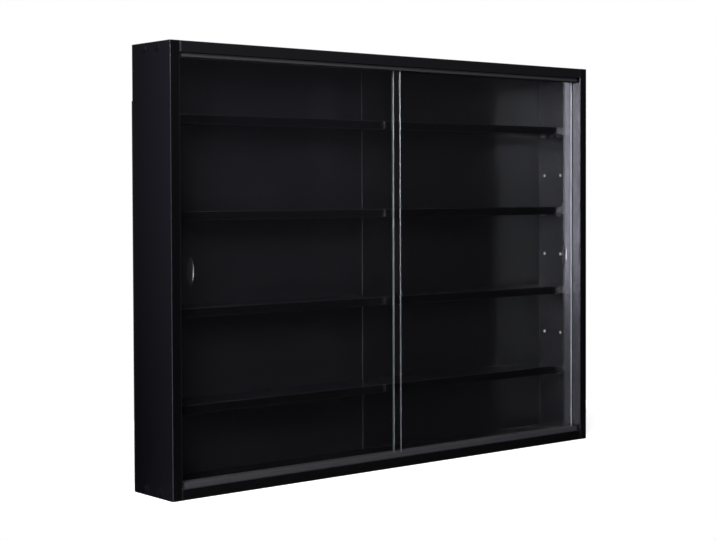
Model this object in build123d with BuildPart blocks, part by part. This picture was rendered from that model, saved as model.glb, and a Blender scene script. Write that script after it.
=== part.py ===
"""Wall-hung display cabinet for cards and small figures, in millimetres.

Two upright side boards hold a top and a bottom board between them. Four shelves lie on
steel pins, two thin back sheets are nailed on from behind, and two sheets of glass slide
past each other in plastic tracks. The origin is the middle of the footprint, +Z is up and
the doors face -Y. A depth is counted from the front plane towards the back. What stands
on both sides is made on the right and mirrored.
"""

from math import sqrt
import os

from build123d import *

# ---- Driving dimensions -------------------------------------------------------------

WIDTH = 800
HEIGHT = 600
DEPTH = 95

BOARD = 15                      # side, top and bottom boards
BACK_SHEET = 2.5
BACK_MARGIN = 0.5               # the back sheets stop just inside the outline
BACK_JOINT_CHAMFER = 0.4        # on the edges where the two back sheets meet
ARRIS = 0.8                     # rounding of the banded front edges

SHELF_BOARD = 12
SHELF_ARRIS = 0.6
SHELF_FRONT_DEPTH = 28          # the shelves stand back behind the doors
SHELF_BACK_GAP = 0.5
SHELF_END_GAP = 1

PIN_ROWS = 7                    # the middle row is at half height
PIN_ROW_PITCH = 64.4
PIN_DEPTHS = (45, 80)
PIN_HOLE_R = 2.5
PIN_HOLE_DEPTH = 9
PIN_IN_HOLE = 8
PIN_REACH = 8                   # how far a pin stands out of the side board
PIN_FLAT = 1                    # height of the pin's flat top above its axis
PIN_EDGE = 0.4
PIN_COLLAR_R = 3.6
PIN_COLLAR = 0.7
SHELF_ROWS = (6, 4, 2, 0)       # the pin rows that carry shelves 1 to 4

TRACK_LENGTH = 760
TRACK_FRONT_DEPTH = 3
TRACK_BASE = 1.5
RIB = 2.2
LANE = 6.7
RIB_TIP = 0.8                   # rounding of the ribs' tips
TRACK_LEDGE = 0.6               # how far a track's thick part stands out of its rib
BOTTOM_TRACK_HEIGHT = 6.5
BOTTOM_FLANGE_HEIGHT = 2.5
TOP_TRACK_DROP = 6              # what shows below the top board
TOP_GROOVE = 4.5                # what is let into the top board
TOP_BEAD_HEIGHT = 3.2

GLASS = 4
GLASS_ARRIS = 0.4
DOOR_WIDTH = 387.5
DOOR_SIDE_GAP = 1
DOOR_BOTTOM_GAP = 0.1
DOOR_TOP_BITE = 3.6             # how far the glass reaches into the top track
REAR_DOOR_BACK = 1.2            # the rear sheet runs this far behind its lane's middle
PULL_INSET = 18                 # centre of a finger pull from its door's outer edge
PULL_LENGTH = 36
PULL_WIDTH = 10
PULL_CUT = 1.2

FIT = 0.05                      # radial clearance round pins, dowels, screws and nails
HOLE_TIP = 1                    # how much deeper a blind hole is than what it takes

CARCASS_SCREW_DEPTHS = (32, 64)
CARCASS_SCREW_HEAD_R = 4.9
CARCASS_SCREW_SHANK_R = 3.4
CARCASS_SCREW_THREAD_R = 2.45
CARCASS_SCREW_LENGTH = 50
CARCASS_SCREW_SOCKET = 4        # across flats
CAP_R = 6
CAP_RISE = 0.8
CAP_BEVEL = 0.4
CAP_STEM_R = 1.8
CAP_STEM = 1.5

DOWEL_DEPTHS = (48, 80)
DOWEL_R = 2.95
DOWEL_IN_SIDE = 10
DOWEL_IN_BOARD = 20
DOWEL_CHAMFER = 0.6

TRACK_SCREW_X = (-350, -175, 0, 175, 350)
TRACK_SCREW_HEAD_R = 2.4
TRACK_SCREW_SHANK_R = 1.2
TRACK_SCREW_THREAD_R = 1
TRACK_SCREW_LENGTH = 9

NAIL_X = (12, 125, 238, 350)    # along the top and bottom boards
NAIL_Z = (40, 160, 280, 400, 510)
NAIL_R = 0.7
NAIL_LENGTH = 16
NAIL_HEAD_R = 1.6
NAIL_HEAD = 0.5

HANGER_WIDTH = 13
HANGER_LENGTH = 58
HANGER_MID_Z = 558
HANGER_THICK = 1.5
HANGER_CORNER = 2
HANGER_SCREW_SPACING = 48
HANGER_SCREW_HEAD_R = 2.9
HANGER_SCREW_SHANK_R = 1.5
HANGER_SCREW_THREAD_R = 1.3
HANGER_SCREW_LENGTH = 16
KEYHOLE_R = 4.5
KEYHOLE_SLOT = 4.5              # width of the slot above the round hole
KEYHOLE_LOW_Z = 548
KEYHOLE_HIGH_Z = 562
KEYHOLE_POCKET_WIDTH = 11       # room for the wall screw's head, in the side board
KEYHOLE_POCKET_LENGTH = 27
KEYHOLE_POCKET_DEPTH = 8
HANGER_NOTCH_WIDTH = 14.5       # what the back sheet leaves free round the plate
HANGER_NOTCH_LOW_Z = 525

# ---- Places worked out from them ----------------------------------------------------

FRONT_Y = -DEPTH / 2
CARCASS_DEPTH = DEPTH - BACK_SHEET
BACK_Y = FRONT_Y + CARCASS_DEPTH
CARCASS_MID_Y = (FRONT_Y + BACK_Y) / 2
INNER_X = WIDTH / 2 - BOARD
SIDE_MID_X = WIDTH / 2 - BOARD / 2
TOP_Z = HEIGHT - BOARD
BOARD_MID_Z = (BOARD / 2, HEIGHT - BOARD / 2)

TRACK_WIDTH = 3 * RIB + 2 * LANE
TRACK_MID_Y = FRONT_Y + TRACK_FRONT_DEPTH + TRACK_WIDTH / 2
FRONT_LANE_Y = TRACK_MID_Y - (RIB + LANE) / 2
REAR_LANE_Y = TRACK_MID_Y + (RIB + LANE) / 2
GROOVE_TOP_Z = TOP_Z + TOP_GROOVE
LANE_FLOOR_Z = BOARD + TRACK_BASE
LANE_CEILING_Z = GROOVE_TOP_Z - TRACK_BASE
TRACK_LIP_Z = TOP_Z - TOP_TRACK_DROP

PIN_R = PIN_HOLE_R - FIT
DOOR_LOW_Z = LANE_FLOOR_Z + DOOR_BOTTOM_GAP
DOOR_HEIGHT = TRACK_LIP_Z + DOOR_TOP_BITE - DOOR_LOW_Z
DOOR_MID_X = INNER_X - DOOR_SIDE_GAP - DOOR_WIDTH / 2
PULL_X = INNER_X - DOOR_SIDE_GAP - PULL_INSET

# Faces to draw on, seen from outside the wood. Their second coordinate is the height.
OUTER_FACE = Plane(origin=(WIDTH / 2, 0, 0), x_dir=(0, 1, 0), z_dir=(1, 0, 0))
INNER_FACE = Plane(origin=(INNER_X, 0, 0), x_dir=(0, -1, 0), z_dir=(-1, 0, 0))
REAR_FACE = Plane(origin=(0, BACK_Y, 0), x_dir=(-1, 0, 0), z_dir=(0, 1, 0))
BACK_SHEET_FACE = REAR_FACE.offset(BACK_SHEET)
HANGER_FACE = REAR_FACE.offset(HANGER_THICK)
LANE_FLOOR = Plane(origin=(0, REAR_LANE_Y, LANE_FLOOR_Z))
LANE_CEILING = Plane(origin=(0, REAR_LANE_Y, LANE_CEILING_Z), z_dir=(0, 0, -1))


def depth_y(depth):
    """The y of a point this far behind the front plane."""
    return FRONT_Y + depth


def row_z(row):
    """The height of a row of shelf-pin holes, counted from the lowest."""
    return HEIGHT / 2 + (row - (PIN_ROWS - 1) / 2) * PIN_ROW_PITCH


def save(piece, name):
    """Label a finished piece and write it under its node's name."""
    piece.part.label = name
    export_step(piece.part, f"parts/{name}.step")


CARCASS_SCREW_PLACES = [(depth_y(d), z) for d in CARCASS_SCREW_DEPTHS for z in BOARD_MID_Z]
DOWEL_PLACES = [(-depth_y(d), z) for d in DOWEL_DEPTHS for z in BOARD_MID_Z]
PIN_PLACES = [(-depth_y(d), row_z(row)) for d in PIN_DEPTHS for row in SHELF_ROWS]
BOARD_NAIL_PLACES = [(-x, z) for x in NAIL_X for z in BOARD_MID_Z]
SIDE_NAIL_PLACES = [(-SIDE_MID_X, z) for z in NAIL_Z]
HANGER_SCREW_PLACES = [
    (-SIDE_MID_X, HANGER_MID_Z + end * HANGER_SCREW_SPACING / 2) for end in (-1, 1)
]
TRACK_SCREW_PLACES = [(x, 0) for x in TRACK_SCREW_X]

# ---- Fasteners, each drawn once upright, with its seat on z = 0 ---------------------


def make_screw(head_r, shank_r, thread_r, shank_length, length, socket=None):
    """A countersunk screw, flush with z = 0, with a hexagon socket or a cross recess."""
    head_height = head_r - shank_r
    with BuildPart() as screw:
        with BuildSketch(Plane.XZ):
            with BuildLine():
                Polyline(
                    (0, 0),
                    (head_r, 0),
                    (shank_r, -head_height),
                    (shank_r, -shank_length),
                    (thread_r, -shank_length),
                    (thread_r, thread_r - length),
                    (0, -length),
                    close=True,
                )
            make_face()
        revolve(axis=Axis.Z)
        with BuildSketch():
            if socket:
                RegularPolygon(socket / sqrt(3), 6)
            else:
                Rectangle(1.2 * head_r, 0.2 * head_r)
                Rectangle(0.2 * head_r, 1.2 * head_r)
        extrude(amount=-(socket or head_r) / 2, mode=Mode.SUBTRACT)
    return screw.part


CARCASS_SCREW = make_screw(
    CARCASS_SCREW_HEAD_R,
    CARCASS_SCREW_SHANK_R,
    CARCASS_SCREW_THREAD_R,
    BOARD - 1,
    CARCASS_SCREW_LENGTH,
    CARCASS_SCREW_SOCKET,
)
TRACK_SCREW = make_screw(
    TRACK_SCREW_HEAD_R,
    TRACK_SCREW_SHANK_R,
    TRACK_SCREW_THREAD_R,
    2 * TRACK_BASE,
    TRACK_SCREW_LENGTH,
)
HANGER_SCREW = make_screw(
    HANGER_SCREW_HEAD_R,
    HANGER_SCREW_SHANK_R,
    HANGER_SCREW_THREAD_R,
    2 * HANGER_THICK,
    HANGER_SCREW_LENGTH,
)

with BuildPart() as nail:
    with BuildSketch():
        Circle(NAIL_HEAD_R)
    extrude(amount=-NAIL_HEAD)
    with BuildSketch():
        Circle(NAIL_R)
    extrude(amount=-NAIL_LENGTH)
    chamfer(nail.edges().sort_by(Axis.Z)[0], NAIL_R / 2)

with BuildPart() as cap:
    with BuildSketch():
        Circle(CAP_R)
    extrude(amount=CAP_RISE)
    chamfer(cap.edges().sort_by(Axis.Z)[-1], CAP_BEVEL)
    with BuildSketch():
        Circle(CAP_STEM_R)
    extrude(amount=-CAP_STEM)

with BuildPart() as dowel:
    with BuildSketch(Plane.XY.offset(-DOWEL_IN_SIDE)):
        Circle(DOWEL_R)
    extrude(amount=DOWEL_IN_SIDE + DOWEL_IN_BOARD)
    chamfer(dowel.edges().filter_by(GeomType.CIRCLE), DOWEL_CHAMFER)

with BuildPart() as pin:
    with BuildSketch(Plane.XY.offset(-PIN_IN_HOLE)):
        Circle(PIN_R)
    extrude(amount=PIN_IN_HOLE)
    with BuildSketch():
        Circle(PIN_COLLAR_R)
    extrude(amount=PIN_COLLAR)
    with BuildSketch(Plane.XY.offset(PIN_COLLAR)):
        Circle(PIN_R)
        with Locations((0, PIN_FLAT)):
            Rectangle(2 * PIN_R, PIN_R, align=(Align.CENTER, Align.MIN), mode=Mode.SUBTRACT)
    extrude(amount=PIN_REACH - PIN_COLLAR)
    chamfer(pin.faces().sort_by(Axis.Z)[-1].edges(), PIN_EDGE)

# ---- Side boards --------------------------------------------------------------------

with BuildPart() as right_side_panel:
    with BuildSketch() as plan:
        with Locations((SIDE_MID_X, CARCASS_MID_Y)):
            Rectangle(BOARD, CARCASS_DEPTH)
        fillet(plan.vertices().group_by(Axis.Y)[0], ARRIS)
    extrude(amount=HEIGHT)

    # Two columns of shelf-pin holes, then the dowels' holes, in the inner face.
    with BuildSketch(INNER_FACE):
        with Locations(*[(-depth_y(d), row_z(row)) for d in PIN_DEPTHS for row in range(PIN_ROWS)]):
            Circle(PIN_HOLE_R)
    extrude(amount=-PIN_HOLE_DEPTH, mode=Mode.SUBTRACT)
    with BuildSketch(INNER_FACE):
        with Locations(*DOWEL_PLACES):
            Circle(DOWEL_R + FIT)
    extrude(amount=-DOWEL_IN_SIDE - HOLE_TIP, mode=Mode.SUBTRACT)

    with Locations(OUTER_FACE):
        with Locations(*CARCASS_SCREW_PLACES):
            CounterSinkHole(
                CARCASS_SCREW_SHANK_R + FIT,
                CARCASS_SCREW_HEAD_R + FIT,
                counter_sink_angle=90,
            )

    # In the rear edge: the pocket behind the keyhole, and the screws' and nails' holes.
    with BuildSketch(REAR_FACE):
        with Locations((-SIDE_MID_X, (KEYHOLE_LOW_Z + KEYHOLE_HIGH_Z) / 2)):
            SlotOverall(KEYHOLE_POCKET_LENGTH, KEYHOLE_POCKET_WIDTH, rotation=90)
    extrude(amount=-KEYHOLE_POCKET_DEPTH, mode=Mode.SUBTRACT)
    with BuildSketch(REAR_FACE):
        with Locations(*HANGER_SCREW_PLACES):
            Circle(HANGER_SCREW_SHANK_R + FIT)
    extrude(amount=HANGER_THICK - HANGER_SCREW_LENGTH - HOLE_TIP, mode=Mode.SUBTRACT)
    with BuildSketch(REAR_FACE):
        with Locations(*SIDE_NAIL_PLACES):
            Circle(NAIL_R + FIT)
    extrude(amount=BACK_SHEET - NAIL_LENGTH - HOLE_TIP, mode=Mode.SUBTRACT)

with BuildPart() as left_side_panel:
    add(right_side_panel.part)
    mirror(about=Plane.YZ, mode=Mode.REPLACE)

# ---- Top and bottom boards ----------------------------------------------------------


def make_cross_board(mid_z):
    """A board between the sides, with the holes of its joints and nails but no track."""
    with BuildPart() as board:
        with BuildSketch(Plane.YZ) as section:
            with Locations((CARCASS_MID_Y, mid_z)):
                Rectangle(CARCASS_DEPTH, BOARD)
            fillet(section.vertices().group_by(Axis.X)[0], ARRIS)
        extrude(amount=INNER_X)
        with BuildSketch(Plane.YZ.offset(INNER_X)):
            with Locations(*[(depth_y(depth), mid_z) for depth in CARCASS_SCREW_DEPTHS]):
                Circle(CARCASS_SCREW_THREAD_R + FIT)
        extrude(amount=BOARD - CARCASS_SCREW_LENGTH - HOLE_TIP, mode=Mode.SUBTRACT)
        with BuildSketch(Plane.YZ.offset(INNER_X)):
            with Locations(*[(depth_y(depth), mid_z) for depth in DOWEL_DEPTHS]):
                Circle(DOWEL_R + FIT)
        extrude(amount=-DOWEL_IN_BOARD - HOLE_TIP, mode=Mode.SUBTRACT)
        with BuildSketch(REAR_FACE):
            with Locations(*[(-x, mid_z) for x in NAIL_X]):
                Circle(NAIL_R + FIT)
        extrude(amount=BACK_SHEET - NAIL_LENGTH - HOLE_TIP, mode=Mode.SUBTRACT)
        mirror(about=Plane.YZ)
    return board.part


BOTTOM_BOARD, TOP_BOARD = [make_cross_board(mid_z) for mid_z in BOARD_MID_Z]

with BuildPart() as bottom_panel:
    add(BOTTOM_BOARD)
    with BuildSketch(LANE_FLOOR):
        with Locations(*TRACK_SCREW_PLACES):
            Circle(TRACK_SCREW_SHANK_R + FIT)
    extrude(amount=-TRACK_SCREW_LENGTH - HOLE_TIP, mode=Mode.SUBTRACT)

with BuildPart() as top_panel:
    add(TOP_BOARD)
    with BuildSketch(Plane.YZ):
        with Locations((TRACK_MID_Y, TOP_Z)):
            Rectangle(TRACK_WIDTH + 2 * FIT, TOP_GROOVE, align=(Align.CENTER, Align.MIN))
    extrude(amount=INNER_X, both=True, mode=Mode.SUBTRACT)
    with BuildSketch(LANE_CEILING):
        with Locations(*TRACK_SCREW_PLACES):
            Circle(TRACK_SCREW_SHANK_R + FIT)
    extrude(amount=-TRACK_SCREW_LENGTH - HOLE_TIP, mode=Mode.SUBTRACT)

# ---- Back sheets --------------------------------------------------------------------

with BuildPart() as back_panel_right:
    outer_x = WIDTH / 2 - BACK_MARGIN
    notch_x = WIDTH / 2 - HANGER_NOTCH_WIDTH
    with BuildSketch(REAR_FACE):
        with BuildLine():
            Polyline(
                (0, BACK_MARGIN),
                (-outer_x, BACK_MARGIN),
                (-outer_x, HANGER_NOTCH_LOW_Z),
                (-notch_x, HANGER_NOTCH_LOW_Z),
                (-notch_x, HEIGHT - BACK_MARGIN),
                (0, HEIGHT - BACK_MARGIN),
                close=True,
            )
        make_face()
    extrude(amount=BACK_SHEET)
    joint_edges = back_panel_right.edges().filter_by(Axis.Z).group_by(Axis.X)[0]
    chamfer(joint_edges.sort_by(Axis.Y)[0], BACK_JOINT_CHAMFER)
    with Locations(BACK_SHEET_FACE):
        with Locations(*BOARD_NAIL_PLACES, *SIDE_NAIL_PLACES):
            CounterBoreHole(NAIL_R + FIT, NAIL_HEAD_R + FIT, NAIL_HEAD)

with BuildPart() as back_panel_left:
    add(back_panel_right.part)
    mirror(about=Plane.YZ, mode=Mode.REPLACE)

# ---- Tracks -------------------------------------------------------------------------


def make_track(section_plane, height, ledge_low, ledge_high):
    """A two-lane profile with its base on the section's first axis."""
    with BuildPart() as track:
        with BuildSketch(section_plane) as section:
            Rectangle(TRACK_WIDTH, TRACK_BASE, align=(Align.CENTER, Align.MIN))
            with GridLocations(RIB + LANE, 0, 3, 1):
                Rectangle(RIB, height, align=(Align.CENTER, Align.MIN))
            with Locations((0, ledge_low)):
                with GridLocations(TRACK_WIDTH + TRACK_LEDGE, 0, 2, 1):
                    Rectangle(TRACK_LEDGE, ledge_high - ledge_low, align=(Align.CENTER, Align.MIN))
            fillet(section.vertices().group_by(Axis.Y)[-1], RIB_TIP)
        extrude(amount=TRACK_LENGTH / 2, both=True)
    return track.part


BOTTOM_PROFILE = make_track(
    Plane(origin=(0, TRACK_MID_Y, BOARD), x_dir=(0, 1, 0), z_dir=(1, 0, 0)),
    BOTTOM_TRACK_HEIGHT,
    0,
    BOTTOM_FLANGE_HEIGHT,
)
TOP_PROFILE = make_track(
    Plane(origin=(0, TRACK_MID_Y, GROOVE_TOP_Z), x_dir=(0, 1, 0), z_dir=(-1, 0, 0)),
    TOP_GROOVE + TOP_TRACK_DROP,
    TOP_GROOVE + TOP_TRACK_DROP - TOP_BEAD_HEIGHT,
    TOP_GROOVE + TOP_TRACK_DROP,
)


def drill_track(profile, lane_plane):
    """The profile with countersunk holes along its rear lane."""
    with BuildPart() as track:
        add(profile)
        with Locations(lane_plane):
            with Locations(*TRACK_SCREW_PLACES):
                CounterSinkHole(
                    TRACK_SCREW_SHANK_R + FIT,
                    TRACK_SCREW_HEAD_R + FIT,
                    counter_sink_angle=90,
                )
    return track


bottom_track = drill_track(BOTTOM_PROFILE, LANE_FLOOR)
top_track = drill_track(TOP_PROFILE, LANE_CEILING)

# ---- Shelves ------------------------------------------------------------------------


def make_shelf(row):
    """A shelf that lies on the pins of this row."""
    with BuildPart() as shelf:
        with BuildSketch(Plane.YZ) as section:
            with Locations((depth_y(SHELF_FRONT_DEPTH), row_z(row) + PIN_FLAT)):
                Rectangle(
                    CARCASS_DEPTH - SHELF_FRONT_DEPTH - SHELF_BACK_GAP,
                    SHELF_BOARD,
                    align=(Align.MIN, Align.MIN),
                )
            fillet(section.vertices().group_by(Axis.X)[0], SHELF_ARRIS)
        extrude(amount=INNER_X - SHELF_END_GAP, both=True)
    return shelf


# ---- Glass doors --------------------------------------------------------------------


def make_door(side, lane_y):
    """A sheet of glass on the left (-1) or the right (1), with its pull ground in front.

    The pull is the dent of a grinding wheel with a rounded rim, which is a torus.
    """
    rim_r = (PULL_WIDTH ** 2 / 4 + PULL_CUT ** 2) / (2 * PULL_CUT)
    wheel_r = (PULL_LENGTH ** 2 / 4 + PULL_CUT ** 2) / (2 * PULL_CUT)
    wheel_y = lane_y - GLASS / 2 + PULL_CUT - wheel_r
    with BuildPart() as door:
        with Locations((side * DOOR_MID_X, lane_y, DOOR_LOW_Z + DOOR_HEIGHT / 2)):
            Box(DOOR_WIDTH, GLASS, DOOR_HEIGHT)
        chamfer(door.edges(), GLASS_ARRIS)
        with Locations(Location((side * PULL_X, wheel_y, HEIGHT / 2), (0, 90, 0))):
            Torus(wheel_r - rim_r, rim_r, mode=Mode.SUBTRACT)
    return door


left_glass_door = make_door(-1, FRONT_LANE_Y)
right_glass_door = make_door(1, REAR_LANE_Y + REAR_DOOR_BACK)

# ---- Hangers ------------------------------------------------------------------------

with BuildPart() as right_hanger_plate:
    with BuildSketch(REAR_FACE):
        with Locations((-SIDE_MID_X, HANGER_MID_Z)):
            RectangleRounded(HANGER_WIDTH, HANGER_LENGTH, HANGER_CORNER)
        with Locations((-SIDE_MID_X, KEYHOLE_LOW_Z)):
            Circle(KEYHOLE_R, mode=Mode.SUBTRACT)
        with Locations((-SIDE_MID_X, (KEYHOLE_LOW_Z + KEYHOLE_HIGH_Z) / 2)):
            SlotCenterToCenter(
                KEYHOLE_HIGH_Z - KEYHOLE_LOW_Z,
                KEYHOLE_SLOT,
                rotation=90,
                mode=Mode.SUBTRACT,
            )
    extrude(amount=HANGER_THICK)
    with Locations(HANGER_FACE):
        with Locations(*HANGER_SCREW_PLACES):
            CounterSinkHole(
                HANGER_SCREW_SHANK_R + FIT,
                HANGER_SCREW_HEAD_R + FIT,
                counter_sink_angle=90,
            )

with BuildPart() as left_hanger_plate:
    add(right_hanger_plate.part)
    mirror(about=Plane.YZ, mode=Mode.REPLACE)

# ---- Fasteners in their places ------------------------------------------------------


def place_both_sides(piece, face, places):
    """Copies of a piece at places on a face of the right side, and their mirror images."""
    with BuildPart() as group:
        with Locations(face):
            with Locations(*places):
                add(piece)
        mirror(about=Plane.YZ)
    return group


def place_in_lane(lane_plane):
    """The screws of one track."""
    with BuildPart() as group:
        with Locations(lane_plane):
            with Locations(*TRACK_SCREW_PLACES):
                add(TRACK_SCREW)
    return group


# ---- Files --------------------------------------------------------------------------

os.makedirs("parts", exist_ok=True)

save(left_side_panel, "left_side_panel")
save(right_side_panel, "right_side_panel")
save(top_panel, "top_panel")
save(bottom_panel, "bottom_panel")
save(back_panel_left, "back_panel_left")
save(back_panel_right, "back_panel_right")
for number, row in enumerate(SHELF_ROWS, start=1):
    save(make_shelf(row), f"shelf_{number}")
save(place_both_sides(pin.part, INNER_FACE, PIN_PLACES), "shelf_pins")
save(top_track, "top_track")
save(bottom_track, "bottom_track")
save(left_glass_door, "left_glass_door")
save(right_glass_door, "right_glass_door")
save(place_both_sides(CARCASS_SCREW, OUTER_FACE, CARCASS_SCREW_PLACES), "carcass_screws")
save(place_both_sides(cap.part, OUTER_FACE, CARCASS_SCREW_PLACES), "screw_caps")
save(place_both_sides(dowel.part, INNER_FACE, DOWEL_PLACES), "carcass_dowels")
save(
    place_both_sides(nail.part, BACK_SHEET_FACE, BOARD_NAIL_PLACES + SIDE_NAIL_PLACES),
    "back_panel_nails",
)
save(place_in_lane(LANE_CEILING), "top_track_screws")
save(place_in_lane(LANE_FLOOR), "bottom_track_screws")
save(left_hanger_plate, "left_hanger_plate")
save(right_hanger_plate, "right_hanger_plate")
save(place_both_sides(HANGER_SCREW, HANGER_FACE, HANGER_SCREW_PLACES), "hanger_screws")
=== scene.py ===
"""Finishes a shallow display cabinet with sliding glass doors, around its packed solids."""

from math import radians

import bpy
import numpy as np
from bpy.props import FloatProperty, FloatVectorProperty, PointerProperty
from bpy.types import Operator, Panel, PropertyGroup
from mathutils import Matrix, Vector


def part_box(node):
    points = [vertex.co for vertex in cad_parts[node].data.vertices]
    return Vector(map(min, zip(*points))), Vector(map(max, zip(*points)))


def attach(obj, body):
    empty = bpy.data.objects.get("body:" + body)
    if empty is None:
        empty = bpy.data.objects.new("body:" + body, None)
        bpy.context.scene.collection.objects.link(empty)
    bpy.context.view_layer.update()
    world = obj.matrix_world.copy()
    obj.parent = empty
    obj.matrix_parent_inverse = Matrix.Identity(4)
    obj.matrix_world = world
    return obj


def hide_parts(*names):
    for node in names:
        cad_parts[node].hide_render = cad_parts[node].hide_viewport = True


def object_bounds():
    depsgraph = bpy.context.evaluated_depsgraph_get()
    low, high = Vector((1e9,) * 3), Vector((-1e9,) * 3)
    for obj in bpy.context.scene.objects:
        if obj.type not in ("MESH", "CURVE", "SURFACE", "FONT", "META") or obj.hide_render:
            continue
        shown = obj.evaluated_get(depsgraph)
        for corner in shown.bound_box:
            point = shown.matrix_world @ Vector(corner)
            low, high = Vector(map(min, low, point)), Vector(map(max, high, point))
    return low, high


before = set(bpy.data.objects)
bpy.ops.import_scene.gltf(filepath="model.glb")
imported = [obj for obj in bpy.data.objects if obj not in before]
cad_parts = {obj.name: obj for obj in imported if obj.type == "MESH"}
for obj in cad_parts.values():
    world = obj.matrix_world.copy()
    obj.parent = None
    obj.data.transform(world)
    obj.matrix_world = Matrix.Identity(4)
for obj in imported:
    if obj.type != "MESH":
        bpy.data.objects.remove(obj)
CAD_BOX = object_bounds()

bl_info = {
    "name": "Display Cabinet Finishes",
    "version": (1, 0, 0),
    "blender": (4, 5, 0),
    "location": "3D View > Sidebar > Cabinet",
    "description": "Boards, sheets, glass, tracks and fittings of a sliding-door display cabinet",
    "category": "Object",
}

BOARDS = ("left_side_panel", "right_side_panel", "top_panel", "bottom_panel")
SHELVES = ("shelf_1", "shelf_2", "shelf_3", "shelf_4")
BACK_SHEETS = ("back_panel_left", "back_panel_right")
TRACKS = ("top_track", "bottom_track")
ZINC_FITTINGS = (
    "carcass_screws",
    "back_panel_nails",
    "top_track_screws",
    "bottom_track_screws",
    "left_hanger_plate",
    "right_hanger_plate",
    "hanger_screws",
)

MM = 0.001

# How pale each front edge band is painted, as a share of the palest: painted light and shade on one
# and the same banding.
BAND_LIGHT_AND_SHADE_SHARES = {
    "left_side_panel": 0.33,
    "right_side_panel": 0.45,
    "top_panel": 1.0,
    "bottom_panel": 0.38,
    "shelf_1": 0.05,
    "shelf_2": 0.25,
    "shelf_3": 0.35,
    "shelf_4": 0.35,
}
# How much of the core's colour is painted along the joint at a board's left end: a pale line,
# partly open core and partly a painted highlight along the joint.
JOINT_CORE_AND_HIGHLIGHT_SHARES = {"top_panel": 0.055}
# Roughness of an upper face that is dull with dust.
DUST_ROUGHNESS = {"top_panel": 0.95, "left_side_panel": 0.95, "right_side_panel": 0.95}
# How many times paler than the laminate its arrises are, with wear and a painted highlight that is
# strongest on the left side panel, and its rubbed faces are.
ARRIS_WEAR_AND_HIGHLIGHT_SHARES = {"left_side_panel": 20}
USUAL_ARRIS_WEAR_AND_HIGHLIGHT_SHARE = 9
RUBBED_SHARE = 5.5
# How much of that the handling marks show, and how much paler the faces grow towards the front
# edge.
MARKS_SHOWN = 0.25
FRONT_PALING_SHOWN = 0.34
# Roughness of the polished strip as a share of the laminate's, and of cut chips.
POLISHED_SHARE = 0.75
CUT_ROUGHNESS = 0.9
# The back sheets' lacquer: its share of the palest colour, where the right sheet's low share is
# painted shade, and of its roughness.
LACQUER_SHADE_SHARES = {"back_panel_left": 1.0, "back_panel_right": 0.15}
LACQUER_DULLING = {"back_panel_left": 1.0, "back_panel_right": 1.17}
SAWN_ROUGHNESS = 0.75

# Where a finish begins and where it is full, from the face, edge or end that it belongs to.
CORE_DEPTH = (0.3 * MM, 0.4 * MM)
BAND_DEPTH = (0.5 * MM, 0.3 * MM)
JOINT_WIDTH = (2.6 * MM, 1.6 * MM)
ARRIS_WEAR_AND_HIGHLIGHT_WIDTH = (1.2 * MM, 0.2 * MM)
FRONT_PALING_REACH = (80 * MM, 0)
POLISHED_REACH = (12 * MM, 16 * MM)
DUST_DEPTH = (-0.2 * MM, -0.1 * MM)
RAW_DEPTH = (-0.5 * MM, -0.2 * MM)
SAWN_WIDTH = (0.6 * MM, 0.45 * MM)
BEAD_RIM = (-0.1 * MM, 0.1 * MM)

MELAMINE_IOR = 1.6
GLASS_IOR = 1.52
# Heights between which the painted shade low on the ground edges fades out.
PAINTED_SHADE_HEIGHTS = (340 * MM, 500 * MM)
# Points round a finger pull and round a cap, and the places of a door's materials.
PANE_RAYS = 120
CAP_SIDES = 40
CLEAR, GROUND, SATIN = range(3)

# Walls of the room: a direction, and its cosines where the wall begins and where it is full.
WHITE_WALL = ((0.64, 0.77, 0.0), 0.76, 0.84)
GREY_WALL = ((-0.5, 0.76, 0.55), 0.62, 0.97)
LOW_PANEL = ((-0.714, -0.690, -0.15), 0.985, 0.998)
FRONT_FROM_LEFT = ((0.826, 0.563, 0.0), -0.02, 0.02)
FRONT_FROM_RIGHT = ((-0.75, -0.661, 0.0), -0.02, 0.02)
FRONT_FROM_FLOOR = ((0, 0, 1), -0.15, 0.09)
AHEAD = ((0, -1, 0), 0.0, 0.1)
ABOVE_EYE_LEVEL = ((0, 0, 1), -0.03, 0.1)
DUSK = ((0, 0, 1), -0.25, 0.03)
LOW_PANEL_COLOUR = (4.0, 4.0, 4.6)
# What is left of the front wall above eye level, and of the room's colours at the floor.
UPPER_FRONT_SHARE = 0.8
DUSK_SHARE = 0.1

FLOOR_LOW = (-0.44, -0.1)
FLOOR_HIGH = (0.75, 0.6)
# Width of the floor's fading border, and how white the floor is inside it.
FLOOR_BORDER = (0, 0.1)
FLOOR_GLOW = 0.45

# Softboxes: where each stands, where it looks, and its width and height.
CABINET_MIDDLE = (0, 0, 0.3)
SOFTBOXES = {
    "key_softbox": ((-1.8, -2.15, 0.52), CABINET_MIDDLE, (0.44, 0.95)),
    "side_softbox": ((-1.75, -1.35, 1.15), CABINET_MIDDLE, (0.9, 0.7)),
    "overhead_softbox": ((0.2, -0.2, 2.7), (0, 0, 0), (2.4, 2.4)),
    "rear_softbox": ((2.1, 2.0, 1.2), CABINET_MIDDLE, (1.6, 1.4)),
}
KEY_COLOUR = (0.98, 0.98, 1.18)


# ---- Settings -----------------------------------------------------------------------


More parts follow.
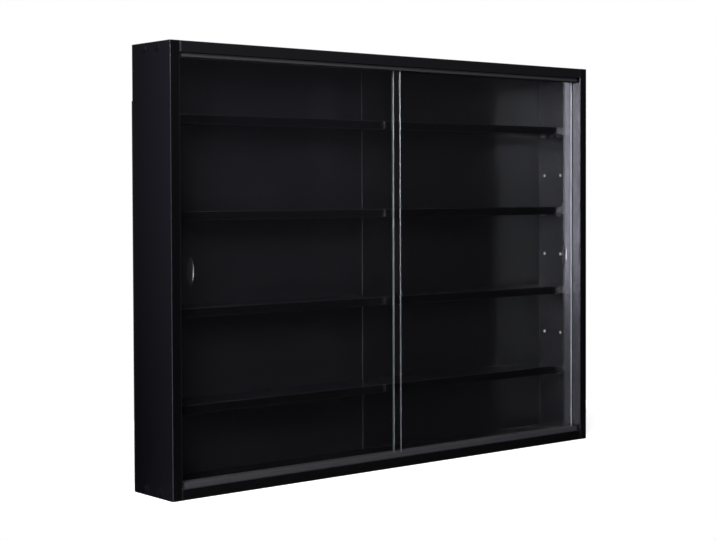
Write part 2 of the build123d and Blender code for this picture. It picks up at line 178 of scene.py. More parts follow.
class CabinetFinishSettings(PropertyGroup):
    """Colours of the cabinet's own finishes."""

    laminate: FloatVectorProperty(
        name="Laminate",
        description="Colour of the boards' faces",
        subtype="COLOR",
        size=3,
        min=0,
        max=1,
        default=(0.0032, 0.0030, 0.0042),
    )
    # Its palest is the top board's band; the other bands are painted darker from it as painted
    # shade.
    edge_band: FloatVectorProperty(
        name="Edge band",
        description="Colour of the band along the boards' front edges, at its palest",
        subtype="COLOR",
        size=3,
        min=0,
        max=1,
        default=(0.0095, 0.0092, 0.0105),
    )
    # Its palest is the left sheet's; the right sheet's is painted darker as painted shade.
    back_lacquer: FloatVectorProperty(
        name="Back lacquer",
        description="Colour of the back sheets' lacquered side, at its palest",
        subtype="COLOR",
        size=3,
        min=0,
        max=1,
        default=(0.0053, 0.0050, 0.0066),
    )
    core: FloatVectorProperty(
        name="Board core",
        description="Colour of the chips where a board is cut or drilled",
        subtype="COLOR",
        size=3,
        min=0,
        max=1,
        default=(0.80, 0.76, 0.70),
    )
    hardboard: FloatVectorProperty(
        name="Hardboard",
        description="Colour of the raw side of the back sheets",
        subtype="COLOR",
        size=3,
        min=0,
        max=1,
        default=(0.20, 0.105, 0.05),
    )
    track: FloatVectorProperty(
        name="Track plastic",
        description="Colour of the door tracks",
        subtype="COLOR",
        size=3,
        min=0,
        max=1,
        default=(0.040, 0.038, 0.043),
    )
    # The top track is painted darker above this height: painted shade.
    track_bead: FloatProperty(
        name="Track bead",
        description="Height of the bead along the top track's lip",
        unit="LENGTH",
        min=0,
        default=3.2 * MM,
    )
    laminate_roughness: FloatProperty(
        name="Laminate roughness",
        description="Roughness of the boards' faces",
        subtype="FACTOR",
        min=0,
        max=1,
        default=0.2,
    )
    sheet_roughness: FloatProperty(
        name="Sheet roughness",
        description="Roughness of the back sheets' lacquer",
        subtype="FACTOR",
        min=0,
        max=1,
        default=0.32,
    )


class CabinetGlassSettings(PropertyGroup):
    """Sizes and tint of the glass doors."""

    tint: FloatVectorProperty(
        name="Glass tint",
        description="Colour of light that has passed through a sheet",
        subtype="COLOR",
        size=3,
        min=0,
        max=1,
        default=(0.96, 0.964, 0.964),
    )
    ground_tint: FloatVectorProperty(
        name="Ground edge tint",
        description="Colour of the ground edges",
        subtype="COLOR",
        size=3,
        min=0,
        max=1,
        default=(0.20, 0.252, 0.245),
    )
    arris: FloatProperty(
        name="Arris",
        description="Width of the bevel ground along the edges",
        unit="LENGTH",
        min=0,
        default=0.4 * MM,
    )
    pull_width: FloatProperty(
        name="Pull width",
        description="Width of the finger pull ground into the glass",
        unit="LENGTH",
        min=0,
        default=10 * MM,
    )
    pull_length: FloatProperty(
        name="Pull length",
        description="Upright length of the finger pull",
        unit="LENGTH",
        min=0,
        default=36 * MM,
    )
    pull_depth: FloatProperty(
        name="Pull depth",
        description="Depth of the finger pull at its middle",
        unit="LENGTH",
        min=0,
        default=1.2 * MM,
    )
    pull_roughness: FloatProperty(
        name="Pull roughness",
        description="Roughness of the satin glass inside the finger pull",
        subtype="FACTOR",
        min=0,
        max=1,
        default=0.25,
    )
    pull_inset: FloatProperty(
        name="Pull inset",
        description="From the door's outer edge to the middle of the pull",
        unit="LENGTH",
        min=0,
        default=18 * MM,
    )


class CabinetCapSettings(PropertyGroup):
    """Sizes of the caps over the carcass screws."""

    rise: FloatProperty(
        name="Cap rise",
        description="How far a cap's dome stands out of the board",
        unit="LENGTH",
        min=0,
        default=0.8 * MM,
    )
    rim: FloatProperty(
        name="Cap rim",
        description="Thickness of a cap at its rim",
        unit="LENGTH",
        min=0,
        default=0.25 * MM,
    )
    radius: FloatProperty(
        name="Cap radius",
        description="Radius of a cap",
        unit="LENGTH",
        min=0,
        default=6 * MM,
    )


class CabinetStageSettings(PropertyGroup):
    """Light, floor and camera."""

    key_power: FloatProperty(
        name="Key light",
        description="Power of the softbox beside the camera, which lights gloss only",
        subtype="POWER",
        min=0,
        default=45,
    )
    side_power: FloatProperty(
        name="Side light",
        description="Power of the high softbox at the left",
        subtype="POWER",
        min=0,
        default=64,
    )
    top_power: FloatProperty(
        name="Overhead light",
        description="Power of the overhead softbox",
        subtype="POWER",
        min=0,
        default=20,
    )
    rear_power: FloatProperty(
        name="Rear light",
        description="Power of the softbox behind",
        subtype="POWER",
        min=0,
        default=52,
    )
    room: FloatVectorProperty(
        name="Room",
        description="Colour of the dim room that the gloss and the glass show",
        subtype="COLOR",
        size=3,
        min=0,
        max=1,
        default=(0.005, 0.005, 0.0055),
    )
    front_wall: FloatVectorProperty(
        name="Front wall",
        description="Colour of the wall opposite the doors that the glass shows",
        subtype="COLOR",
        size=3,
        min=0,
        max=1,
        default=(0.043, 0.040, 0.053),
    )
    wall: FloatVectorProperty(
        name="Grey wall",
        description="Colour of the paler wall that the gloss shows at the back left",
        subtype="COLOR",
        size=3,
        min=0,
        max=1,
        default=(0.064, 0.060, 0.081),
    )
    camera_place: FloatVectorProperty(
        name="Camera",
        description="Where the camera stands",
        subtype="XYZ",
        unit="LENGTH",
        size=3,
        default=(-1.4925, -1.7221, 0.4003),
    )
    camera_turn: FloatVectorProperty(
        name="Camera turn",
        description="The camera's rotation",
        subtype="EULER",
        unit="ROTATION",
        size=3,
        default=(radians(88.468), radians(0.221), radians(-39.5)),
    )
    lens: FloatProperty(
        name="Lens",
        description="Focal length on a 36 mm sensor, in millimetres",
        min=1,
        default=77.28,
    )
    frame_shift: FloatVectorProperty(
        name="Frame shift",
        description="How far the frame stands off the optical axis, as shares of its width",
        subtype="XYZ",
        size=2,
        default=(0.0211, -0.0493),
    )


# ---- Node helpers -------------------------------------------------------------------


def add_node(tree, kind, **values):
    """A new node. Names are its attributes, and in_N or in_Name its input defaults."""
    node = tree.nodes.new(kind)
    for name, value in values.items():
        if name.startswith("in_"):
            key = name[3:]
            socket = node.inputs[int(key)] if key.isdigit() else node.inputs[key.replace("_", " ")]
            socket.default_value = value
        else:
            setattr(node, name, value)
    return node


def join(tree, *pairs):
    """Links each (output socket, input socket)."""
    for output, target in pairs:
        tree.links.new(output, target)


def feed(tree, node, **sockets):
    """Links output sockets to a node's inputs of these names, with _ for a space."""
    for name, socket in sockets.items():
        tree.links.new(socket, node.inputs[name.replace("_", " ")])


def math_node(tree, operation, first, second=None, clamp=False):
    """A Math node fed by sockets or numbers; gives its output."""
    node = add_node(tree, "ShaderNodeMath", operation=operation, use_clamp=clamp)
    for socket, value in zip(node.inputs, (first, second)):
        if isinstance(value, bpy.types.NodeSocket):
            tree.links.new(value, socket)
        elif value is not None:
            socket.default_value = value
    return node.outputs[0]


def ramp(tree, value, span, low=0.0, high=1.0, origin=0.0, curve="LINEAR"):
    """A number that goes from low to high as a socket's crosses a span, counted from an origin."""
    node = add_node(
        tree,
        "ShaderNodeMapRange",
        interpolation_type=curve,
        in_From_Min=origin + span[0],
        in_From_Max=origin + span[1],
        in_To_Min=low,
        in_To_Max=high,
    )
    feed(tree, node, Value=value)
    return node.outputs[0]


def coordinates(tree, vector):
    """The outputs X, Y and Z of a vector socket."""
    split = add_node(tree, "ShaderNodeSeparateXYZ")
    join(tree, (vector, split.inputs[0]))
    return split.outputs


def mix_numbers(tree, factor, first, second):
    """A number between a socket's and a plain one; gives the output socket."""
    node = add_node(tree, "ShaderNodeMix", data_type="FLOAT", in_3=second)
    join(tree, (factor, node.inputs["Factor"]), (first, node.inputs[2]))
    return node.outputs[0]


def mix_colours(tree, factor, first, second):
    """A colour between two colours or sockets; gives the output socket."""
    node = add_node(tree, "ShaderNodeMix", data_type="RGBA")
    feed(tree, node, Factor=factor)
    for socket, value in ((node.inputs[6], first), (node.inputs[7], second)):
        if isinstance(value, bpy.types.NodeSocket):
            tree.links.new(value, socket)
        else:
            socket.default_value = (*value[:3], 1)
    return node.outputs[2]


def scaled(colour, share):
    """A colour made paler or darker: each of its parts times a share."""
    return [share * value for value in colour]


def new_group(name, inputs, outputs):
    """An empty shader node group; inputs are (name, kind, default), outputs (name, kind)."""
    group = bpy.data.node_groups.new(name, "ShaderNodeTree")
    for socket_name, kind, default in inputs:
        socket = group.interface.new_socket(socket_name, in_out="INPUT", socket_type=kind)
        if default is not None:
            socket.default_value = default
    for socket_name, kind in outputs:
        group.interface.new_socket(socket_name, in_out="OUTPUT", socket_type=kind)
    start = group.nodes.new("NodeGroupInput")
    end = group.nodes.new("NodeGroupOutput")
    return group, start, end


def new_material(name):
    """A material with a Principled BSDF; gives it with its tree, shader and coordinates."""
    material = bpy.data.materials.new(name)
    material.use_nodes = True
    tree = material.node_tree
    tree.nodes.clear()
    output = tree.nodes.new("ShaderNodeOutputMaterial")
    shader = tree.nodes.new("ShaderNodeBsdfPrincipled")
    place = tree.nodes.new("ShaderNodeTexCoord")
    join(tree, (shader.outputs[0], output.inputs["Surface"]))
    return material, tree, shader, place.outputs["Object"]


def surface(tree):
    """The Surface input of a material's output."""
    output = next(node for node in tree.nodes if node.type == "OUTPUT_MATERIAL")
    return output.inputs["Surface"]


def mirrored(tree, path):
    """Whether a ray has come by way of gloss or glass."""
    by_gloss, by_glass = path.outputs["Is Glossy Ray"], path.outputs["Is Transmission Ray"]
    return math_node(tree, "MAXIMUM", by_gloss, by_glass)


def dress(name, material):
    """Gives a CAD node one material, and its slot."""
    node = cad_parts[name]
    node.data.materials.clear()
    node.data.materials.append(material)


# ---- Shared effects -----------------------------------------------------------------

SHARED = {}


def effect(tree, make, place, **values):
    """A shared effect in a material, at these coordinates and with its own input values.

    Its node group is built when the effect is first asked for.
    """
    name = make.__name__
    if name not in SHARED:
        SHARED[name] = make(name)
    node = add_node(tree, "ShaderNodeGroup", node_tree=SHARED[name])
    for key, value in values.items():
        node.inputs[key].default_value = value
    feed(tree, node, Vector=place)
    return node


def box_distances(name):
    """How deep a point lies in a box, and how near to the box's edges.

    On each axis the distance to the nearer face is the smaller of the distances to the
    low and the high corner. The smallest of the three is the depth, which is nothing on
    a face, and the middle one is the distance to the nearest edge.
    """
    group, start, end = new_group(
        name,
        [
            ("Vector", "NodeSocketVector", None),
            ("Low", "NodeSocketVector", None),
            ("High", "NodeSocketVector", None),
        ],
        [("Depth", "NodeSocketFloat"), ("Edge", "NodeSocketFloat")],
    )
    from_low = add_node(group, "ShaderNodeVectorMath", operation="SUBTRACT")
    from_high = add_node(group, "ShaderNodeVectorMath", operation="SUBTRACT")
    nearer = add_node(group, "ShaderNodeVectorMath", operation="MINIMUM")
    join(
        group,
        (start.outputs["Vector"], from_low.inputs[0]),
        (start.outputs["Low"], from_low.inputs[1]),
        (start.outputs["High"], from_high.inputs[0]),
        (start.outputs["Vector"], from_high.inputs[1]),
        (from_low.outputs[0], nearer.inputs[0]),
        (from_high.outputs[0], nearer.inputs[1]),
    )
    x, y, z = coordinates(group, nearer.outputs[0])
    low_xy = math_node(group, "MINIMUM", x, y)
    high_xy = math_node(group, "MAXIMUM", x, y)
    depth = math_node(group, "MINIMUM", low_xy, z)
    middle = math_node(group, "MAXIMUM", low_xy, math_node(group, "MINIMUM", high_xy, z))
    feed(group, end, Depth=depth, Edge=middle)
    return group


def handling_marks(name):
    """Dust and faint rub marks: a mask and a roughness that changes over the surface.

    Broad clouds of noise say where hands and cloths have been. Fine noise stretched
    along one axis cuts them into short hairline rubs.
    """
    group, start, end = new_group(
        name,
        [
            ("Vector", "NodeSocketVector", None),
            ("Roughness", "NodeSocketFloat", 0.3),
            ("Spread", "NodeSocketFloat", 0.08),
            ("Stretch", "NodeSocketVector", (1, 1, 1)),
        ],
        [("Roughness", "NodeSocketFloat"), ("Marks", "NodeSocketFloat")],
    )
    clouds = add_node(group, "ShaderNodeTexNoise", in_Scale=9.0, in_Detail=3.0)
    stretched = add_node(group, "ShaderNodeVectorMath", operation="MULTIPLY")
    hairs = add_node(group, "ShaderNodeTexNoise", in_Scale=420.0, in_Detail=2.0)
    join(
        group,
        (start.outputs["Vector"], clouds.inputs["Vector"]),
        (start.outputs["Vector"], stretched.inputs[0]),
        (start.outputs["Stretch"], stretched.inputs[1]),
        (stretched.outputs[0], hairs.inputs["Vector"]),
    )
    hair_mask = ramp(group, hairs.outputs["Fac"], (0.62, 0.72))
    centred = math_node(group, "SUBTRACT", clouds.outputs["Fac"], 0.5)
    swing = math_node(group, "MULTIPLY", centred, start.outputs["Spread"])
    marks = math_node(group, "MULTIPLY", hair_mask, clouds.outputs["Fac"], clamp=True)
    rubbed = math_node(group, "MULTIPLY", marks, start.outputs["Spread"])
    change = math_node(group, "ADD", swing, rubbed)
    total = math_node(group, "ADD", start.outputs["Roughness"], change)
    feed(group, end, Roughness=total, Marks=marks)
    return group


def grain_relief(name):
    """A normal with fine relief, and the noise of the given scale that it is made from."""
    group, start, end = new_group(
        name,
        [
            ("Vector", "NodeSocketVector", None),
            ("Stretch", "NodeSocketVector", (1, 1, 1)),
            ("Scale", "NodeSocketFloat", 600.0),
            ("Strength", "NodeSocketFloat", 0.1),
            ("Distance", "NodeSocketFloat", 0.0001),
        ],
        [("Normal", "NodeSocketVector"), ("Height", "NodeSocketFloat")],
    )
    stretched = add_node(group, "ShaderNodeVectorMath", operation="MULTIPLY")
    noise = add_node(group, "ShaderNodeTexNoise", in_Detail=4.0, in_Roughness=0.6)
    bump = add_node(group, "ShaderNodeBump")
    join(
        group,
        (start.outputs["Vector"], stretched.inputs[0]),
        (start.outputs["Stretch"], stretched.inputs[1]),
        (stretched.outputs[0], noise.inputs["Vector"]),
        (start.outputs["Scale"], noise.inputs["Scale"]),
        (start.outputs["Strength"], bump.inputs["Strength"]),
        (start.outputs["Distance"], bump.inputs["Distance"]),
        (noise.outputs["Fac"], bump.inputs["Height"]),
    )
    feed(group, end, Normal=bump.outputs[0], Height=noise.outputs["Fac"])
    return group


def chip_core(name):
    """The speckle of pressed wood chips: cells broken up by noise, which darken the colour."""
    group, start, end = new_group(
        name,
        [
            ("Vector", "NodeSocketVector", None),
            ("Colour", "NodeSocketColor", (0.7, 0.6, 0.45, 1)),
            ("Scale", "NodeSocketFloat", 700.0),
        ],
        [("Colour", "NodeSocketColor")],
    )
    chips = add_node(group, "ShaderNodeTexVoronoi", feature="F1", in_Randomness=1.0)
    fibres = add_node(group, "ShaderNodeTexNoise", in_Detail=5.0)
    for texture in (chips, fibres):
        feed(group, texture, Vector=start.outputs["Vector"], Scale=start.outputs["Scale"])
    tone = math_node(group, "MULTIPLY", chips.outputs["Distance"], fibres.outputs["Fac"])
    darker = add_node(group, "ShaderNodeMix", data_type="RGBA", blend_type="MULTIPLY")
    darker.inputs[7].default_value = (0.45, 0.36, 0.26, 1)
    feed(group, darker, Factor=tone)
    join(group, (start.outputs["Colour"], darker.inputs[6]))
    feed(group, end, Colour=darker.outputs[2])
    return group


# ---- Materials ----------------------------------------------------------------------


def board_material(node, settings):
    """Black laminate on a chipboard core.

    The front edge is banded in a black of its own, painted paler or darker board by board as
    painted light and shade. At the top board's left end a pale line of the core's colour is
    painted along the joint, partly open core and partly a painted highlight. The arrises are
    paler with wear and a painted highlight, the faces grow paler towards the front edge and are
    rubbed paler in places, the strip in front of the doors is polished, an upper face that no
    one wipes is dull with dust, and a drilling or a cut shows the chips.
    """
    material, tree, shader, place = new_material(f"{node}_laminate")
    low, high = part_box(node)
    at = coordinates(tree, place)
    box = effect(tree, box_distances, place, Low=low, High=high)
    marks = effect(tree, handling_marks, place, Roughness=settings.laminate_roughness, Spread=0.06)
    relief = effect(tree, grain_relief, place, Scale=900.0, Strength=0.03)
    core = effect(tree, chip_core, place, Colour=(*settings.core, 1), Scale=900.0)

    rubbed = math_node(tree, "MULTIPLY", marks.outputs["Marks"], MARKS_SHOWN)
    # The faces grow paler towards the front edge.
    behind_edge = ramp(tree, at["Y"], FRONT_PALING_REACH, high=FRONT_PALING_SHOWN, origin=low.y)
    rubbed = math_node(tree, "ADD", rubbed, behind_edge, clamp=True)
    face = mix_colours(tree, rubbed, settings.laminate, scaled(settings.laminate, RUBBED_SHARE))

    # The pale joint line is partly core showing and partly a painted highlight.
    joint = ramp(tree, at["X"], JOINT_WIDTH, high=JOINT_CORE_AND_HIGHLIGHT_SHARES.get(node, 0.0), origin=low.x)
    # Each board's band is made paler or darker here: painted light and shade.
    band_as_lit = scaled(settings.edge_band, BAND_LIGHT_AND_SHADE_SHARES[node])
    tape = mix_colours(tree, joint, band_as_lit, settings.core)
    face = mix_colours(tree, ramp(tree, at["Y"], BAND_DEPTH, origin=low.y), face, tape)

    # The arrises are paler with wear and with a painted highlight.
    arris = ramp(tree, box.outputs["Edge"], ARRIS_WEAR_AND_HIGHLIGHT_WIDTH)
    wear = math_node(tree, "MULTIPLY", arris, relief.outputs["Height"])
    worn = scaled(settings.laminate, ARRIS_WEAR_AND_HIGHLIGHT_SHARES.get(node, USUAL_ARRIS_WEAR_AND_HIGHLIGHT_SHARE))
    face = mix_colours(tree, wear, face, worn)

    polished = ramp(tree, at["Y"], POLISHED_REACH, low=POLISHED_SHARE, origin=low.y)
    rough = math_node(tree, "MULTIPLY", marks.outputs["Roughness"], polished)
    dust = ramp(tree, at["Z"], DUST_DEPTH, high=DUST_ROUGHNESS.get(node, 0.0), origin=high.z)
    rough = math_node(tree, "MAXIMUM", rough, dust)

    cut = ramp(tree, box.outputs["Depth"], CORE_DEPTH)
    shader.inputs["IOR"].default_value = MELAMINE_IOR
    feed(
        tree,
        shader,
        Base_Color=mix_colours(tree, cut, face, core.outputs["Colour"]),
        Roughness=mix_numbers(tree, cut, rough, CUT_ROUGHNESS),
        Normal=relief.outputs["Normal"],
    )
    return material


def sheet_material(node, settings):
    """Hardboard that is lacquered black inside and shows pressed brown fibre behind.

    The fibre and the sawn edge where the two sheets meet are matt, and the fibre has the
    deeper relief. The right sheet's lacquer is painted darker than the left's: painted shade.
    """
    material, tree, shader, place = new_material(f"{node}_hardboard")
    low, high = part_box(node)
    at = coordinates(tree, place)
    roughness = settings.sheet_roughness * LACQUER_DULLING[node]
    marks = effect(tree, handling_marks, place, Roughness=roughness, Spread=0.05)
    relief = effect(tree, grain_relief, place, Scale=1100.0)
    fibre = effect(tree, chip_core, place, Colour=(*settings.hardboard, 1), Scale=1500.0)
    feed(tree, relief, Strength=ramp(tree, at["Y"], RAW_DEPTH, low=0.12, high=0.37, origin=high.y))

    raw = ramp(tree, at["Y"], RAW_DEPTH, origin=high.y)
    seam, inward = (high.x, -1) if node == "back_panel_left" else (low.x, 1)
    sawn = ramp(tree, at["X"], [inward * reach for reach in SAWN_WIDTH], origin=seam)
    # The right sheet's darker lacquer is painted shade.
    lacquer = scaled(settings.back_lacquer, LACQUER_SHADE_SHARES[node])
    matt = math_node(tree, "MAXIMUM", raw, sawn)
    feed(
        tree,
        shader,
        Base_Color=mix_colours(tree, raw, lacquer, fibre.outputs["Colour"]),
        Roughness=mix_numbers(tree, matt, marks.outputs["Roughness"], SAWN_ROUGHNESS),
        Normal=relief.outputs["Normal"],
    )
    return material


def finish_shader(tree, shader, colour, marks, relief):
    """Gives a shader a colour, the roughness of its marks and the normal of its relief."""
    feed(
        tree,
        shader,
        Base_Color=colour,
        Roughness=marks.outputs["Roughness"],
        Normal=relief.outputs["Normal"],
    )


def track_material(settings):
    """Extruded plastic with fine drawn streaks along its length, and painted shade above the bead.
    """
    material, tree, shader, place = new_material("track_plastic")
    marks = effect(tree, handling_marks, place, Roughness=0.38, Spread=0.12, Stretch=(0.04, 1, 1))
    relief = effect(
        tree, grain_relief, place, Stretch=(0.01, 1, 1), Scale=1400.0, Strength=0.12
    )
    pale, painted_shade_colour = scaled(settings.track, 1.7), scaled(settings.track, 0.55)
    streaks = math_node(tree, "MULTIPLY", relief.outputs["Height"], 0.5)
    plastic = mix_colours(tree, streaks, settings.track, pale)
    # Above the top track's bead the plastic is painted darker: painted shade.
    bead_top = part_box("top_track")[0].z + settings.track_bead
    above = ramp(tree, coordinates(tree, place)["Z"], BEAD_RIM, origin=bead_top)
    plastic = mix_colours(tree, above, plastic, painted_shade_colour)
    finish_shader(tree, shader, plastic, marks, relief)
    return material


def metal_material(name, colour, roughness, stretch):
    """Plated steel with drawn hairlines and a cloudy plating."""
    material, tree, shader, place = new_material(name)
    marks = effect(tree, handling_marks, place, Roughness=roughness, Spread=0.2, Stretch=stretch)
    relief = effect(tree, grain_relief, place, Stretch=stretch, Scale=2500.0, Strength=0.15)
    shader.inputs["Metallic"].default_value = 1.0
    dull = scaled(colour, 0.72)
    plating = mix_colours(tree, relief.outputs["Height"], colour, dull)
    finish_shader(tree, shader, plating, marks, relief)
    return material


def cap_material(settings):
    """Moulded black plastic with a fine spark-eroded grain."""
    material, tree, shader, place = new_material("cap_plastic")
    marks = effect(tree, handling_marks, place, Roughness=0.34, Spread=0.1)
    relief = effect(tree, grain_relief, place, Scale=3500.0, Strength=0.12)
    pale = scaled(settings.laminate, 1.6)
    plastic = mix_colours(tree, relief.outputs["Height"], settings.laminate, pale)
    finish_shader(tree, shader, plastic, marks, relief)
    return material


def dowel_material():
    """Turned beech with its grain along the dowel."""
    material, tree, shader, place = new_material("beech")
    relief = effect(tree, grain_relief, place, Stretch=(0.08, 1, 1), Scale=1200.0, Strength=0.3)
    pale, dark = (0.62, 0.44, 0.28), (0.42, 0.27, 0.15)
    wood = mix_colours(tree, relief.outputs["Height"], pale, dark)
    feed(tree, shader, Base_Color=wood, Normal=relief.outputs["Normal"])
    shader.inputs["Roughness"].default_value = 0.6
    return material


def glass_material(name, settings, roughness):
    """Float glass with faint smears, which lamps and scattered light shine through."""
    material, tree, shader, place = new_material(name)
    smears = add_node(tree, "ShaderNodeTexNoise", in_Scale=6.0, in_Detail=3.0)
    path = add_node(tree, "ShaderNodeLightPath")
    clear = add_node(tree, "ShaderNodeBsdfTransparent", in_Color=(*settings.tint, 1))
    for_lamps = tree.nodes.new("ShaderNodeMixShader")
    for_scatter = tree.nodes.new("ShaderNodeMixShader")
    shader.inputs["Roughness"].default_value = roughness
    shader.inputs["Transmission Weight"].default_value = 1.0
    shader.inputs["IOR"].default_value = GLASS_IOR
    filmy = scaled(settings.tint, 0.97)
    feed(tree, smears, Vector=place)
    feed(tree, shader, Base_Color=mix_colours(tree, smears.outputs["Fac"], settings.tint, filmy))
    join(
        tree,
        (path.outputs["Is Diffuse Ray"], for_scatter.inputs[0]),
        (shader.outputs[0], for_scatter.inputs[1]),
        (clear.outputs[0], for_scatter.inputs[2]),
        (path.outputs["Is Shadow Ray"], for_lamps.inputs[0]),
        (for_scatter.outputs[0], for_lamps.inputs[1]),
        (clear.outputs[0], for_lamps.inputs[2]),
        (for_lamps.outputs[0], surface(tree)),
    )
    return material


def ground_glass_material(name, settings, clearness, shaded_low_share):
    """The ground edge of a sheet: green glass with the fine grain that the wheel leaves.

    The clearness is the part of the light that goes through it. Low down it is painted
    darker, to the given share of its colour: painted shade.
    """
    material, tree, shader, place = new_material(name)
    relief = effect(tree, grain_relief, place, Scale=4000.0, Strength=0.25)
    height = relief.outputs["Height"]
    worn = scaled(settings.ground_tint, 0.7)
    ground = mix_colours(tree, height, settings.ground_tint, worn)
    # Painted shade: darker low down, fading out upwards.
    unshaded = ramp(tree, coordinates(tree, place)["Z"], PAINTED_SHADE_HEIGHTS, low=shaded_low_share)
    shader.inputs["Transmission Weight"].default_value = clearness
    shader.inputs["IOR"].default_value = GLASS_IOR
    feed(
        tree,
        shader,
        Base_Color=mix_colours(tree, unshaded, (0, 0, 0), ground),
        Roughness=ramp(tree, height, (0, 1), low=0.2, high=0.4),
        Normal=relief.outputs["Normal"],
    )
    return material


# ---- Meshes -------------------------------------------------------------------------


def make_object(name, points, faces, materials):
    """A mesh object at the origin, from its points, its faces and its materials."""
    mesh = bpy.data.meshes.new(name)
    mesh.from_pydata(points.tolist(), [], faces)
    for material in materials:
        mesh.materials.append(material)
    thing = bpy.data.objects.new(name, mesh)
    bpy.context.scene.collection.objects.link(thing)
    return thing


def ring_faces(rings, count):
    """Faces of a closed surface of rings, each of count points, between two poles.

    Point 0 is the first pole and the last point the other. Between them, ring r holds
    points 1 + r * count onwards, counter-clockwise as seen from beyond the first pole.
    """
    column = np.arange(count)
    following = (column + 1) % count
    start = 1 + np.arange(rings - 1)[:, None] * count
    quads = np.stack(
        [start + column, start + count + column, start + count + following, start + following],
        axis=-1,
    ).reshape(-1, 4)
    last = 1 + rings * count
    outer = 1 + (rings - 1) * count
    first_fan = np.stack([np.zeros(count, int), 1 + column, 1 + following], axis=-1)
    last_fan = np.stack([np.full(count, last), outer + following, outer + column], axis=-1)
    return first_fan.tolist() + quads.tolist() + last_fan.tolist()


def pane_points(low, high, side, settings):
    """Points of a sheet of glass, as rings round its pull from the front to the back.

    Every ring has a point on the same rays from the middle of the pull, and four of the
    rays run to the sheet's corners. The pull's rings are ellipses, and a ring at share s
    of the ellipse lies k log(1 + exp(c (1 - s^4) / k)) behind the front, where c is
    the full depth and k the rounding of the rim. Beyond them the front is flat out to
    the sheet's outline, and the last four rings go over the ground arrises to the back,
    which closes in a middle point.
    """
    arris = settings.arris
    inset = settings.pull_inset
    centre = np.array([low.x + inset if side < 0 else high.x - inset, (low.z + high.z) / 2])
    corners = np.array([(low.x, low.z), (high.x, low.z), (high.x, high.z), (low.x, high.z)])
    reach = corners - centre
    to_corners = np.arctan2(reach[:, 1], reach[:, 0])
    angles = np.linspace(-np.pi, np.pi, PANE_RAYS, endpoint=False)
    angles = np.unique(np.concatenate([angles, to_corners]))
    ray = np.stack([np.cos(angles), np.sin(angles)], axis=-1)
    half = np.array([settings.pull_width, settings.pull_length]) / 2
    ellipse = ray / np.linalg.norm(ray / half, axis=1)[:, None]

    def outline(shrink):
        limit = np.where(ray > 0, corners[2] - shrink, corners[0] + shrink) - centre
        stretch = np.abs(limit) / np.maximum(np.abs(ray), 1e-9)
        return ray * stretch.min(axis=1)[:, None]

    dent, rim = np.linspace(0.06, 0.88, 14), np.linspace(0.91, 1.15, 13)
    shares = np.concatenate([dent, rim])
    rounding = 0.05 * MM
    satin_share = 1.02
    depth = rounding * np.log1p(np.exp(settings.pull_depth * (1 - shares**4) / rounding))
    rings = [(share * ellipse, low.y + deep) for share, deep in zip(shares, depth)]
    rings += [
        (outline(arris), low.y),
        (outline(0), low.y + arris),
        (outline(0), high.y - arris),
        (outline(arris), high.y),
    ]
    flat = [np.insert(centre + ring, 1, y, axis=1) for ring, y in rings]
    first = [[centre[0], low.y + settings.pull_depth, centre[1]]]
    last = [[centre[0], high.y, centre[1]]]
    points = np.concatenate([first, *flat, last])
    satin_rings = np.count_nonzero(shares < satin_share)
    return points, len(flat), len(angles), len(shares), satin_rings


def make_pane(name, node, side, settings, materials):
    """A glass door in place of its solid, with clear, ground and satin glass on it."""
    low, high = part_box(node)
    points, rings, count, pull_rings, satin_rings = pane_points(low, high, side, settings)
    thing = make_object(name, points, ring_faces(rings, count), materials)
    index = np.arange(len(thing.data.polygons))
    ring = (index - count) // count + 1
    last_fan = index > index[-1] - count
    ground = (ring > pull_rings) & (ring <= pull_rings + 3) & ~last_fan
    finish = np.where(ring < satin_rings, SATIN, np.where(ground, GROUND, CLEAR))
    thing.data.polygons.foreach_set("use_smooth", ring < pull_rings)
    thing.data.polygons.foreach_set("material_index", finish.astype(np.int32))
    thing.data.update()
    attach(thing, "left_door" if side < 0 else "right_door")
    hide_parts(node)


def cap_points(place, outward, settings):
    """Points of one cap: a low dome over a short rim, turned about the screw's axis.

    From the middle outwards the dome falls with the square of the radius, from the full
    rise to the rim's thickness, and the rim is rounded down to the board.
    """
    share = np.linspace(0.12, 1, 9)
    dome = settings.rim + (settings.rise - settings.rim) * (1 - share**2)
    bend = np.linspace(0, np.pi / 2, 4)[1:]
    edge = 0.15 * MM
    inner = settings.radius - edge
    radius = np.concatenate([share * inner, inner + edge * np.sin(bend), [settings.radius]])
    height = np.concatenate([dome, settings.rim - edge + edge * np.cos(bend), [0.0]])
    turn = np.linspace(0, 2 * np.pi, CAP_SIDES, endpoint=False)
    y = place[1] + radius[:, None] * np.cos(turn)
    z = place[2] + radius[:, None] * np.sin(turn) * outward
    x = place[0] + outward * height[:, None] + 0 * y
    rings = np.stack([x, y, z], axis=-1).reshape(-1, 3)
    top = [[place[0] + outward * settings.rise, place[1], place[2]]]
    bottom = [[place[0], place[1], place[2]]]
    return np.concatenate([top, rings, bottom]), len(radius)


# ---- Operators ----------------------------------------------------------------------


class CABINET_OT_boards(Operator):
    """Finish the side, top and bottom boards."""

    bl_idname = "cabinet.boards"
    bl_label = "Boards"

    def execute(self, context):
        for node in BOARDS:
            dress(node, board_material(node, context.scene.cabinet_finish))
        return {"FINISHED"}


class CABINET_OT_back_sheets(Operator):
    """Finish the two back sheets."""

    bl_idname = "cabinet.back_sheets"
    bl_label = "Back sheets"

    def execute(self, context):
        for node in BACK_SHEETS:
            dress(node, sheet_material(node, context.scene.cabinet_finish))
        return {"FINISHED"}


class CABINET_OT_shelves(Operator):
    """Finish the shelves."""

    bl_idname = "cabinet.shelves"
    bl_label = "Shelves"

    def execute(self, context):
        for node in SHELVES:
            dress(node, board_material(node, context.scene.cabinet_finish))
        return {"FINISHED"}


